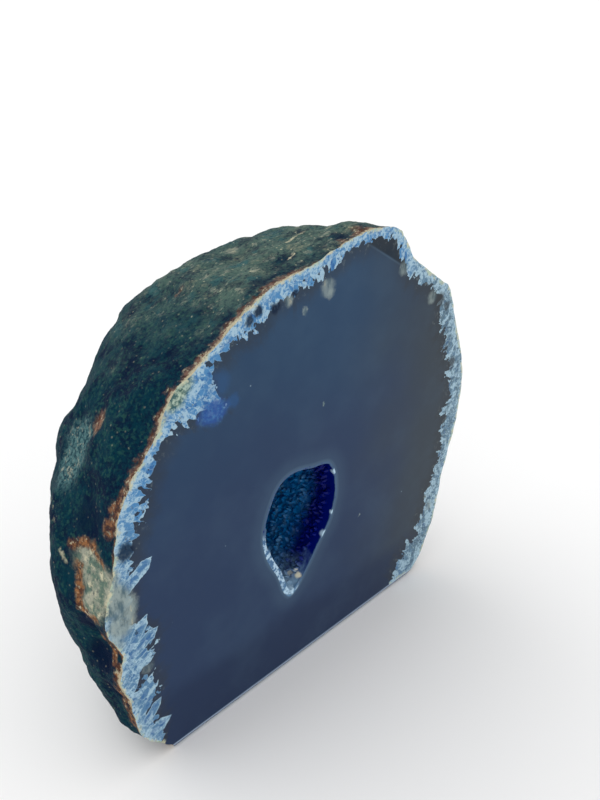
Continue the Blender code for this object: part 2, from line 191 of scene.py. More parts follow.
class StoneLook(bpy.types.PropertyGroup):
    """The sizes and colours of the stone."""

    grain: length("Grain", "Size of the fine surface's squares", 0.62 * MM)
    knob_height: length("Knobs", "Height of the rind's knobs", 0.9 * MM)
    pit_depth: length("Pits", "Depth of the rind's small pits", 0.5 * MM)
    grit_height: length("Grit", "Height of the rind's grit", 0.28 * MM)
    face_grid: length("Face grid", "Spacing of the points on the polished face", 1.3 * MM)
    blue: colour("Agate", "The polished agate at the middle of the face", (44, 61, 90))
    blue_high: colour("Agate, high", "The agate near the top", (45, 70, 98))
    # This colour also draws a painted reflection: a faint pale line across the top corner.
    grey_right: colour("Agate, right", "The greyer agate near the right edge", (56, 66, 76))
    # Painted reflected shade: the deeper, darker blue along the foot.
    foot_reflected_shade: colour("Agate, low", "The deeper agate along the foot", (34, 48, 76))
    # Painted reflection: the darker agate in the top corner.
    top_dark_reflection: colour("Agate, top corner", "The darker agate in the top corner", (18, 34, 48))
    smoke: colour("Smoke", "The brownish agate just inside the crystals", (52, 57, 62))
    halo_and_reflection_line: colour("Halo", "The paler agate round the hollow", (92, 120, 142))
    milk: colour("Milk", "Cloudy spots beside the crystals", (146, 160, 158))
    # Painted shade: the dark of small open gaps beside and among the crystals.
    gap: colour("Gap", "Dark gaps beside the crystals", (14, 34, 58))
    band: colour("Band", "The light crystals of the edge band", (80, 134, 182))
    band_grey: colour("Band, grey", "The greyer crystals on the right and low on the left", (94, 126, 150))
    band_slate: colour("Band, slate", "The dull crystals at the right edge", (84, 106, 114))
    band_pale: colour("Band, pale", "The palest crystals of the band", (168, 198, 214))
    band_deep: colour("Band, deep", "The deep blue between the crystals", (44, 92, 150))
    # Painted highlight: the light line along the top of the foot's bevel.
    edge: colour("Foot edge", "The light line along the foot's bevel", (176, 196, 220))
    cream: colour("Cream", "The cream line at the rim", (206, 200, 170))
    buff: colour("Buff", "The broken buff rind low on the left", (156, 158, 142))
    lichen: colour("Lichen", "The greenish cream at the rim", (176, 194, 172))
    cobalt: colour("Cobalt", "The deep blue patch high on the left", (46, 84, 150))
    rust: colour("Rust", "The iron stain outside the cream line", (152, 104, 66))
    rust_high: colour("Rust, high", "The duller iron stain along the top", (128, 100, 86))
    umber: colour("Umber", "The darkest iron stain", (86, 56, 42))
    teal: colour("Rind, teal", "The dyed rind", (3, 48, 62))
    # The pale teal, tan and olive of the top are partly painted top light.
    teal_pale: colour("Rind, pale teal", "The bluer patches on the top", (50, 100, 104))
    tan: colour("Rind, tan", "The lightest patches on the top", (142, 140, 118))
    navy: colour("Rind, navy", "The darkest dyed rind", (4, 20, 48))
    moss: colour("Rind, moss", "The greener grains of the rind", (40, 80, 72))
    olive: colour("Rind, olive", "The greyer rind on the top", (94, 116, 104))
    chip: colour("Rind, chipped", "The grey broken patch on the left", (84, 120, 122))
    ground: colour("Ground", "The ground base and bevel", (104, 120, 144))


class HollowLook(bpy.types.PropertyGroup):
    """The sizes and colours of the crystals in the hollow."""

    skin: length("Skin", "Thickness of the quartz under the crystals", 0.5 * MM)
    crest: length("Crest", "Thickness of the quartz low on the left", 1.4 * MM)
    spacing: length("Spacing", "Least distance between two crystals", 0.85 * MM)
    radius: length("Radius", "Radius of the largest crystal", 0.75 * MM)
    height: length("Height", "Height of the largest crystal", 1.5 * MM)
    navy: colour("Navy", "The quartz near the mouth", (0, 14, 104))
    teal: colour("Teal", "The quartz deep in the hollow", (6, 106, 168))
    # Slate and pale also paint light on the upturned floor at the hollow's lower tip.
    slate: colour("Slate", "The paler streaks on the floor of the hollow", (140, 186, 212))
    pale: colour("Pale", "The quartz at the lower tip and rim", (186, 216, 236))
    slate_deep: colour("Slate, deep", "The blue between the pale crystals at the rim", (52, 100, 142))
    rim: colour("Rim", "The quartz where it meets the face", (70, 98, 128))
    cream: colour("Cream", "Two glints near the lower tip", (252, 246, 220))


class StageLook(bpy.types.PropertyGroup):
    """The floor, the lights and the lens."""

    floor: colour("Floor", "The plain pale floor", (244, 244, 244))
    sun_strength: power("Sun", "Strength of the large soft light", 0.9)
    sun_spread: bpy.props.FloatProperty(
        name="Sun spread", description="Width of the soft light", default=math.radians(70), min=0, subtype="ANGLE"
    )
    sky_strength: power("Sky", "Strength of the even light all round", 0.93)
    lens: bpy.props.FloatProperty(name="Lens", description="Focal length in mm", default=38.25, min=1)


class Value:
    """A socket of a node tree that Python's arithmetic adds nodes to."""

    def __init__(self, graph, socket):
        self.graph = graph
        self.socket = socket

    def math(self, operation, *values):
        return self.graph.node("ShaderNodeMath", {"operation": operation}, dict(enumerate(values)))

    def __add__(self, other):
        return self.math("ADD", self, other)

    def __radd__(self, other):
        return self.math("ADD", other, self)

    def __mul__(self, other):
        return self.math("MULTIPLY", self, other)

    def __rmul__(self, other):
        return self.math("MULTIPLY", other, self)

    def __sub__(self, other):
        return self.math("SUBTRACT", self, other)

    def __rsub__(self, other):
        return self.math("SUBTRACT", other, self)

    def __truediv__(self, other):
        return self.math("DIVIDE", self, other)

    def __abs__(self):
        return self.math("ABSOLUTE", self)

    def __gt__(self, other):
        """1 where this is greater than another value, else 0."""
        return self.math("GREATER_THAN", self, other)

    def most(self, other):
        """The greater of this and another value."""
        return self.math("MAXIMUM", self, other)

    def least(self, other):
        """The smaller of this and another value."""
        return self.math("MINIMUM", self, other)

    def step(self, low, high):
        """0 at low, 1 at high, and a soft step from one to the other."""
        settings = {"interpolation_type": "SMOOTHSTEP"}
        return self.graph.node("ShaderNodeMapRange", settings, {"Value": self, "From Min": low, "From Max": high})


class Graph:
    """A node tree that is written as expressions."""

    def __init__(self, tree):
        self.tree = tree

    def feed(self, socket, value):
        """Links a value to a socket, or sets a plain one on it."""
        if isinstance(value, Value):
            self.tree.links.new(value.socket, socket)
        else:
            socket.default_value = value

    def node(self, kind, settings=None, inputs=None, output=0):
        """Adds a node, sets it up, feeds its inputs and gives one of its outputs."""
        made = self.tree.nodes.new(kind)
        for name, value in (settings or {}).items():
            setattr(made, name, value)
        for key, value in (inputs or {}).items():
            self.feed(made.inputs[key], value)
        return Value(self, made.outputs[output])

    def vector(self, operation, *values, output=0):
        return self.node("ShaderNodeVectorMath", {"operation": operation}, dict(enumerate(values)), output)

    def part(self, vector, axis):
        """One of a vector's three numbers."""
        return self.node("ShaderNodeSeparateXYZ", None, {0: vector}, "XYZ".index(axis))

    def together(self, x, y, z):
        """A vector of three numbers."""
        return self.node("ShaderNodeCombineXYZ", None, {0: x, 1: y, 2: z})

    def mix(self, factor, start, end):
        """A colour from start, at factor 0, to end, at 1."""
        settings = {"data_type": "RGBA", "clamp_factor": True}
        return self.node("ShaderNodeMix", settings, {0: factor, 6: start, 7: end}, 2)

    def noise(self, vector, size, detail=2.0, roughness=0.5, output=0):
        """Smooth noise from 0 to 1 with features of a size in metres."""
        inputs = {"Vector": vector, "Scale": 1 / size, "Detail": detail, "Roughness": roughness}
        return self.node("ShaderNodeTexNoise", None, inputs, output)

    def bent(self, vector, size, amount):
        """A place moved a little this way and that by noise, so that what is drawn there isn't straight."""
        push = self.vector("ADD", self.noise(vector, size, 3, 0.6, "Color"), (-0.5, -0.5, -0.5))
        return self.vector("MULTIPLY_ADD", push, (2 * amount,) * 3, vector)

    def cells(self, vector, feature="F1", output="Distance", size=1.0, dimensions="3D"):
        """Voronoi cells of a size in metres."""
        settings = {"voronoi_dimensions": dimensions, "feature": feature}
        return self.node("ShaderNodeTexVoronoi", settings, {"Vector": vector, "Scale": 1 / size}, output)

    def curve(self, value, stops):
        """A value drawn as straight lines between stops, each a place and a height from 0 to 1."""
        made = self.tree.nodes.new("ShaderNodeValToRGB")
        elements = made.color_ramp.elements
        elements.remove(elements[1])
        elements[0].position = stops[0][0]
        elements[0].color = (stops[0][1],) * 3 + (1,)
        for place, height in stops[1:]:
            elements.new(place).color = (height,) * 3 + (1,)
        self.feed(made.inputs[0], value)
        return Value(self, made.outputs[0])

    def ball(self, vector, place, radius):
        """1 inside a ball and 0 outside it, with a wide soft edge."""
        return self.vector("DISTANCE", vector, place, output="Value").step(radius * 1.3, radius * 0.55)

    def stroke(self, vector, start, end, half_width):
        """1 along a line from start to end and 0 beside it, with a soft edge."""
        run = end - start
        along = self.vector("DOT_PRODUCT", self.vector("SUBTRACT", vector, start), run, output="Value")
        share = (along / run.length_squared).most(0.0).least(1.0)
        nearest_place = self.vector("MULTIPLY_ADD", self.together(share, share, share), run, start)
        away = self.vector("DISTANCE", vector, nearest_place, output="Value")
        return away.step(half_width * 1.8, half_width * 0.3)


class Finish(Graph):
    """A material, written as expressions, that ends in one Principled shader."""

    def __init__(self, name):
        self.material = bpy.data.materials.new(name)
        self.material.use_nodes = True
        super().__init__(self.material.node_tree)
        self.shader = self.tree.nodes["Principled BSDF"]
        self.place = self.node("ShaderNodeTexCoord", None, None, "Object")

    def finish(self, bump=None, height=0.0, **sockets):
        """Feeds the shader's sockets by name, with _ for a space, and its normal from a bump."""
        for name, value in sockets.items():
            self.feed(self.shader.inputs[name.replace("_", " ")], value)
        if bump is not None:
            normal = self.node("ShaderNodeBump", None, {"Height": bump, "Distance": height})
            self.feed(self.shader.inputs["Normal"], normal)
        return self.material


def look(name):
    """One of the scene's property groups."""
    return getattr(bpy.context.scene, name)


def on_stone(place):
    """A place in the frame from (across, behind the face, up) in mm, measured from below the core."""
    across, behind, up = place
    return Vector((CORE.x + across * MM, FACE_Y + behind * MM, up * MM))


def only(thing):
    """Makes one object the active and the only selected one."""
    bpy.ops.object.select_all(action="DESELECT")
    thing.select_set(True)
    bpy.context.view_layer.objects.active = thing


def duplicate(thing, name):
    """A copy of an object with its own mesh."""
    only(thing)
    bpy.ops.object.duplicate()
    copy = bpy.context.object
    copy.name = copy.data.name = name
    return copy


def merged_copy(node, name):
    """A new object with a CAD node's mesh, whose loose triangles are merged."""
    piece = duplicate(frame["nodes"][node], name)
    piece.parent = None
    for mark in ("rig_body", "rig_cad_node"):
        del piece[mark]
    piece.data.materials.clear()
    bpy.ops.object.mode_set(mode="EDIT")
    bpy.ops.mesh.select_all(action="SELECT")
    bpy.ops.mesh.remove_doubles(threshold=1e-6)
    bpy.ops.object.mode_set(mode="OBJECT")
    return piece


def select_faces(piece, wanted):
    """In edit mode, selects the faces for which wanted(centre) is true."""
    bpy.ops.mesh.select_mode(type="FACE")
    bpy.ops.mesh.select_all(action="DESELECT")
    mesh = bmesh.from_edit_mesh(piece.data)
    for face in mesh.faces:
        if wanted(face.calc_center_median()):
            face.select_set(True)
    bmesh.update_edit_mesh(piece.data)


def select_points(piece, wanted):
    """In edit mode, selects the vertices for which wanted(place) is true."""
    bpy.ops.mesh.select_mode(type="VERT")
    bpy.ops.mesh.select_all(action="DESELECT")
    mesh = bmesh.from_edit_mesh(piece.data)
    for vert in mesh.verts:
        if wanted(vert.co):
            vert.select_set(True)
    bmesh.update_edit_mesh(piece.data)


def apply_modifier(piece, kind, **settings):
    """Adds a modifier, sets it up and applies it."""
    only(piece)
    made = piece.modifiers.new(kind.lower(), kind)
    for name, value in settings.items():
        setattr(made, name, value)
    bpy.ops.object.modifier_apply(modifier=made.name)


def relief_texture(name, kind, size, **settings):
    """A solid texture for a Displace modifier."""
    made = bpy.data.textures.new(name, kind)
    made.noise_scale = size
    for key, value in settings.items():
        setattr(made, key, value)
    return made


def on_face(centre):
    return abs(centre.y - FACE_Y) < 0.002 * MM


def in_hollow(centre, front=FACE_Y):
    """True inside the box of the hollow, behind the face."""
    margin = 1.5 * MM
    inside = all(CRUST_LOW[axis] - margin < centre[axis] < CRUST_HIGH[axis] + margin for axis in (0, 2))
    return inside and front < centre.y < CRUST_HIGH.y + margin


def cut_flat(place, outward):
    """In edit mode, saws all of the mesh off at a plane and closes the cut."""
    bpy.ops.mesh.select_all(action="SELECT")
    bpy.ops.mesh.bisect(plane_co=place, plane_no=outward, use_fill=True, clear_outer=True, threshold=NEAR_CUT)


def saw_stone(piece):
    """Saws the face, grinds the base and grinds the bevel between them."""
    only(piece)
    bpy.ops.object.mode_set(mode="EDIT")
    bpy.ops.mesh.select_mode(type="VERT")
    cut_flat((0, FACE_Y, 0), (0, -1, 0))
    cut_flat((0, 0, 0), (0, 0, -1))
    cut_flat((0, FACE_Y + BEVEL_BACK, 0), BEVEL_OUTWARD)
    bpy.ops.object.mode_set(mode="OBJECT")


def slice_face(piece, spacing):
    """Cuts the polished face into a grid, so that it can hold its distance from the rim."""
    only(piece)
    bpy.ops.object.mode_set(mode="EDIT")
    select_faces(piece, on_face)
    bpy.ops.mesh.quads_convert_to_tris()
    bpy.ops.mesh.hide(unselected=True)
    for axis in (0, 2):
        outward = Vector((0, 0, 0))
        outward[axis] = 1
        for step in range(1, int((STONE_HIGH[axis] - STONE_LOW[axis]) / spacing) + 1):
            place = Vector((0, 0, 0))
            place[axis] = STONE_LOW[axis] + (step + OFF_GRID) * spacing
            bpy.ops.mesh.select_all(action="SELECT")
            bpy.ops.mesh.bisect(plane_co=place, plane_no=outward, threshold=NEAR_CUT)
    bpy.ops.mesh.reveal(select=False)
    bpy.ops.object.mode_set(mode="OBJECT")


def grow_stone(piece, stone):
    """Gives the plain stone its fine surface, a little oversize in front and below, for the saw to cut back."""
    oversize = 3 * MM
    only(piece)
    bpy.ops.object.mode_set(mode="EDIT")
    select_points(piece, lambda place: place.y < FACE_Y + 0.01 * MM)
    bpy.ops.transform.translate(value=(0, -oversize, 0))
    select_points(piece, lambda place: place.z < 0.01 * MM)
    bpy.ops.transform.translate(value=(0, 0, -oversize))
    bpy.ops.object.mode_set(mode="OBJECT")
    apply_modifier(piece, "REMESH", mode="VOXEL", voxel_size=stone.grain)
    apply_modifier(piece, "SMOOTH", factor=0.5, iterations=6)
    bpy.ops.object.mode_set(mode="EDIT")
    select_points(piece, lambda place: not in_hollow(place, FACE_Y - 2 * oversize))
    piece.vertex_groups.new(name=RIND_GROUP)
    bpy.ops.object.vertex_group_assign()
    bpy.ops.object.mode_set(mode="OBJECT")
    knobs = relief_texture("knobs", "CLOUDS", 5.5 * MM, noise_depth=3)
    pits = relief_texture("pits", "VORONOI", 3.2 * MM)
    grit = relief_texture("grit", "CLOUDS", 1.6 * MM, noise_depth=1)
    for texture, height, level in (
        (knobs, stone.knob_height, 0.5),
        (pits, stone.pit_depth, 0.35),
        (grit, stone.grit_height, 0.5),
    ):
        apply_modifier(
            piece,
            "DISPLACE",
            texture=texture,
            strength=height,
            mid_level=level,
            texture_coords="LOCAL",
            vertex_group=RIND_GROUP,
        )


def make_lining_bed(piece):
    """Copies the hollow's wall from the stone, as the surface that the quartz grows on."""
    bed = duplicate(piece, "lining_bed")
    bpy.ops.object.mode_set(mode="EDIT")
    select_faces(bed, lambda centre: on_face(centre) or not in_hollow(centre))
    bpy.ops.mesh.delete(type="FACE")
    bpy.ops.object.mode_set(mode="OBJECT")
    bed.hide_render = True


def rim_points(piece, near_hollow):
    """The points of the sawn face's outer rim, or of its edge round the hollow."""
    mesh = bmesh.new()
    mesh.from_mesh(piece.data)
    mesh.normal_update()
    found = []
    for edge in mesh.edges:
        sides = [on_face(face.calc_center_median()) for face in edge.link_faces]
        if len(sides) == 2 and sides[0] != sides[1]:
            behind = edge.link_faces[sides.index(False)]
            if in_hollow(behind.calc_center_median()) == near_hollow:
                found += [edge.verts[0].co.copy(), (edge.verts[0].co + edge.verts[1].co) / 2]
    mesh.free()
    return found


def finder(points):
    """A tree that finds the nearest of some points."""
    tree = KDTree(len(points))
    for index, point in enumerate(points):
        tree.insert(point, index)
    tree.balance()
    return tree


def measure_face(piece):
    """Writes to each point its distance in from the rim and from the hollow."""
    rim = finder(rim_points(piece, False))
    mouth = finder(rim_points(piece, True))
    inward = piece.data.attributes.new("inward", "FLOAT", "POINT")
    outward = piece.data.attributes.new("outward", "FLOAT", "POINT")
    for vert in piece.data.vertices:
        inward.data[vert.index].value = rim.find(vert.co)[2]
        outward.data[vert.index].value = mouth.find(vert.co)[2]


def give_finishes(piece):
    """Gives the stone its materials and each face its own."""
    for made in (polished_agate(), dyed_rind(), ground_agate()):
        piece.data.materials.append(made)
    for face in piece.data.polygons:
        below = face.normal.z < -0.999 and face.center.z < 0.01 * MM
        bevelled = face.normal.dot(BEVEL_OUTWARD) > 0.9999 and face.center.z < BEVEL_UP + 0.01 * MM
        if on_face(face.center) or in_hollow(face.center):
            face.material_index = 0
        elif below or bevelled:
            face.material_index = 2
        else:
            face.material_index = 1


class GEODE_OT_polished_half(bpy.types.Operator):
    """Makes the stone's fine surface: rind, polished face, ground base and bevel"""

    bl_idname = "geode.polished_half"
    bl_label = "Polished Half"

    def execute(self, context):
        stone = look("geode_stone")
        piece = merged_copy("agate", "polished_half")
        grow_stone(piece, stone)
        saw_stone(piece)
        make_lining_bed(piece)
        slice_face(piece, stone.face_grid)
        measure_face(piece)
        give_finishes(piece)
        only(piece)
        bpy.ops.object.shade_smooth_by_angle(angle=math.radians(40))
        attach(piece, "root")
        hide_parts("agate")
        return {"FINISHED"}


def shades(look, names, **made):
    """Colours by name: some of a look's own and some that were made in the graph."""
    return {name: getattr(look, name) for name in names} | made


def spotted(f, base, place, spots, colours):
    """A colour with some spots of other colours on it."""
    for name, middle, radius, strength in spots:
        base = f.mix(f.ball(place, on_stone(middle), radius * MM) * strength, base, colours[name])
    return base


def lined(f, base, place, lines, colours):
    """A colour with some lines of other colours on it."""
    for name, half_width, strength, points in lines:
        for start, end in zip(points, points[1:]):
            drawn = f.stroke(place, on_stone(start), on_stone(end), half_width * MM)
            base = f.mix(drawn * strength, base, colours[name])
    return base


def agate_body(f, stone, outward, x, z):
    """The translucent blue agate of the face, with painted reflections along the foot and in the top corner."""
    cloud = f.noise(f.place, 22 * MM, 3)
    agate = f.mix((z + cloud * 30 * MM).step(60 * MM, 105 * MM), stone.blue, stone.blue_high)
    agate = f.mix((x + cloud * 24 * MM).step(20 * MM, 58 * MM), agate, stone.grey_right)
    # Painted reflected shade: deeper, darker blue along the foot.
    low = (z + x * 0.04 + (cloud - 0.5) * 7 * MM).step(18.5 * MM, 12 * MM)
    agate = f.mix(low * 0.7, agate, stone.foot_reflected_shade)
    corner = z + x * 0.64
    # Painted reflection: a faint pale line across the top corner, with darker agate above it.
    agate = f.mix(abs(corner - 107.3 * MM).step(0.5 * MM, 0.1 * MM) * 0.25, agate, stone.halo_and_reflection_line)
    agate = f.mix(corner.step(107.2 * MM, 107.7 * MM) * 0.85, agate, stone.top_dark_reflection)
    veil = f.noise(f.place, 14 * MM, 5, 0.6)
    agate = f.mix(veil.step(0.4, 0.75) * 0.08, agate, stone.halo_and_reflection_line)
    ring = outward.step(5 * MM, 0.5 * MM) * 0.16 + outward.step(0.9 * MM, 0.2 * MM) * 0.25
    return f.mix(ring, agate, stone.halo_and_reflection_line)


def blade_reach(f, place, root, tip, width):
    """How far inside the outline of a pointed crystal a place is, in metres, below 0 outside it."""
    start = on_stone((root[0], 0, root[1] + CORE.z / MM))
    end = on_stone((tip[0], 0, tip[1] + CORE.z / MM))
    run = end - start
    offset = f.vector("SUBTRACT", place, start)
    share = f.vector("DOT_PRODUCT", offset, run, output="Value") / run.length_squared
    across = Vector((-run.z, 0, run.x)).normalized()
    side = abs(f.vector("DOT_PRODUCT", offset, across, output="Value"))
    half = ((1.0 - share) * run.length * 0.7).least(width * MM / 2)
    return (half - side).least(share * run.length + 1 * MM)


def crystal_band(f, inward, x, z):
    """Where the band's crystals are: 1 inside them, how far in they reach, and the random shade of each."""
    turn = x.math("ARCTAN2", x - CORE.x, z - CORE.z) / math.tau + 0.5
    ring = f.together(turn * math.tau * RING_RADIUS, inward, 0.0)
    for size, amount in ((3.4 * MM, 2.2 * MM), (1.0 * MM, 1.0 * MM)):
        push = f.vector("ADD", f.noise(f.place, size, 2, 0.5, "Color"), (-0.5, -0.5, -0.5))
        ring = f.vector("MULTIPLY_ADD", push, (amount, amount, 0), ring)
    shape = (1 / (1.2 * MM), 1 / (1.8 * MM), 0)
    blades = f.vector("MULTIPLY", ring, shape)
    middle = f.cells(blades, output="Position", dimensions="2D")
    shade = f.part(f.cells(blades, output="Color", dimensions="2D"), "X")
    edge = f.cells(blades, "DISTANCE_TO_EDGE", dimensions="2D")
    around = f.part(middle, "X") / shape[0]
    # The right side's crystals have rounder ends
    right = (x + f.noise(f.place, 9 * MM) * 10 * MM).step(28 * MM, 40 * MM)
    deep = f.part(middle, "Y") / shape[1] * (1.0 - right) + f.part(ring, "Y") * right
    lobes = f.cells(f.vector("MULTIPLY", ring, (1 / (3.0 * MM), 1 / (20 * MM), 0)), output="Color", dimensions="2D")
    stops = [(degrees / 360, width / BAND_MOST) for degrees, width in BAND_WIDTHS]
    width = f.curve(around / (math.tau * RING_RADIUS), stops) * (BAND_MOST * MM)
    lump = f.noise(f.place, 2.4 * MM, 3, 0.6)
    reach = width * (f.part(lobes, "Y") * 0.4 + shade * 0.22 + lump * 0.9 + 0.2)
    present = width > 0.3 * MM
    return (reach > deep) * present, reach, present, shade, edge


def crystal_colour(f, stone, inward, shade, edge, x, z):
    """The band's crystals: pale flecks and deep veins in light blue, greyer on the right and low on the left."""
    fleck = f.noise(f.place, 0.75 * MM, 4, 0.75)
    mottle = f.noise(f.place, 2.0 * MM, 4, 0.7)
    broad = f.noise(f.place, 10 * MM, 2)
    grey = (x + (broad - 0.5) * 20 * MM).step(24 * MM, 36 * MM)
    grey = grey.most((z + (broad - 0.5) * 26 * MM).step(66 * MM, 48 * MM) * 0.6)
    crystal = f.mix(grey, stone.band, stone.band_grey)
    right = (x + (broad - 0.5) * 16 * MM).step(32 * MM, 40 * MM)
    crystal = f.mix(right * mottle.step(0.4, 0.55) * 0.8, crystal, stone.band_slate)
    crystal = f.mix(mottle.step(0.5, 0.66) * (0.85 - grey * 0.4), crystal, stone.band_deep)
    crystal = f.mix((shade * 0.3 + fleck - 0.3).step(0.32, 0.48) * 0.85, crystal, stone.band_pale)
    crystal = f.mix(edge.step(0.1, 0.02) * 0.3, crystal, stone.band_pale)
    crystal = f.mix(fleck.step(0.4, 0.3) * 0.55, crystal, stone.band_deep)
    # Painted shade in small gaps among the crystals.
    crystal = f.mix(f.noise(f.place, 1.5 * MM, 3, 0.6).step(0.64, 0.7) * 0.75, crystal, stone.gap)
    return f.mix(inward.step(2.2 * MM, 0.3 * MM) * fleck.step(0.42, 0.58) * 0.8, crystal, stone.band_pale)


def polished_agate():
    """The polished face: deep blue agate inside a jagged band of light crystals, cream at the rim."""
    stone = look("geode_stone")
    f = Finish("polished agate")
    x, z = f.part(f.place, "X"), f.part(f.place, "Z")
    inward = f.node("ShaderNodeAttribute", {"attribute_name": "inward"}, None, "Fac")
    outward = f.node("ShaderNodeAttribute", {"attribute_name": "outward"}, None, "Fac")
    inside, reach, present, shade, edge = crystal_band(f, inward, x, z)
    near = f.bent(f.place, 1.3 * MM, 0.4 * MM)
    blade = None
    for root, tip, width in BLADES:
        one = blade_reach(f, near, root, tip, width)
        blade = one if blade is None else blade.most(one)
    inside = inside.most(blade > 0.0)
    grain = f.noise(f.place, 0.9 * MM, 4, 0.65)
    crystal = crystal_colour(f, stone, inward, shade, edge, x, z)
    crystal = f.mix(blade.step(0.45 * MM, 0.1 * MM) * (blade > 0.0) * 0.55, crystal, stone.band_pale)
    crystal = f.mix(blade.step(0.7 * MM, 1.2 * MM) * 0.35, crystal, stone.band_deep)
    # Smoke just inside the crystals, and faint ones within the agate
    agate = agate_body(f, stone, outward, x, z)
    smoke = (inward - reach).step(5 * MM, 0.0) * present
    agate = f.mix(smoke * 0.6, agate, stone.smoke)
    wisp = f.noise(f.place, 1.8 * MM, 4, 0.7).step(0.56, 0.7) * (inward - reach).step(3.5 * MM, 0.4 * MM)
    agate = f.mix(wisp * present * 0.3, agate, stone.milk)
    face = f.mix(inside, agate, crystal)
    rough = f.bent(f.bent(near, 2.2 * MM, 0.7 * MM), 0.6 * MM, 0.45 * MM)
    lichen = f.mix(grain.step(0.4, 0.62), stone.moss, stone.lichen)
    drift = f.noise(f.vector("MULTIPLY", f.place, (1, 1, 0.35)), 1.8 * MM, 5, 0.65)
    milk = f.mix(drift.step(0.36, 0.56), stone.band_slate, f.mix(drift.step(0.58, 0.7), stone.milk, stone.cream))
    cobalt = f.mix(grain.step(0.45, 0.7) * 0.6, stone.cobalt, stone.band)
    patches = shades(stone, ("gap", "smoke", "band_deep"), lichen=lichen, milk=milk, cobalt=cobalt)
    face = spotted(f, face, rough, FACE_SPOTS, patches)
    cream = (inward + (grain - 0.5) * 2.4 * MM + (f.noise(f.place, 5 * MM, 3) - 0.5) * 2 * MM)
    rim = f.mix(f.noise(f.place, 1.2 * MM, 3, 0.7).step(0.42, 0.6), stone.lichen, stone.cream)
    broken = f.noise(f.place, 2.2 * MM, 3, 0.7).step(0.42, 0.56)
    face = f.mix(cream.step(0.8 * MM, 0.1 * MM) * present * broken * 0.9, face, rim)
    speck = f.cells(f.place, size=8 * MM).step(0.03, 0.012)
    face = f.mix(speck * 0.4, face, stone.band_pale)
    # Painted highlight: a light line on the face just above the foot's bevel.
    face = f.mix(z.step(BEVEL_UP + 0.4 * MM, BEVEL_UP + 0.15 * MM) * 0.85, face, stone.edge)
    bump = inside * (edge.step(0.0, 0.12) * 0.3 + grain * 0.5)
    return f.finish(
        Base_Color=face,
        Roughness=0.1 + inside * 0.14,
        Specular_IOR_Level=0.06,
        IOR=1.54,
        bump=bump,
        height=0.06 * MM,
    )


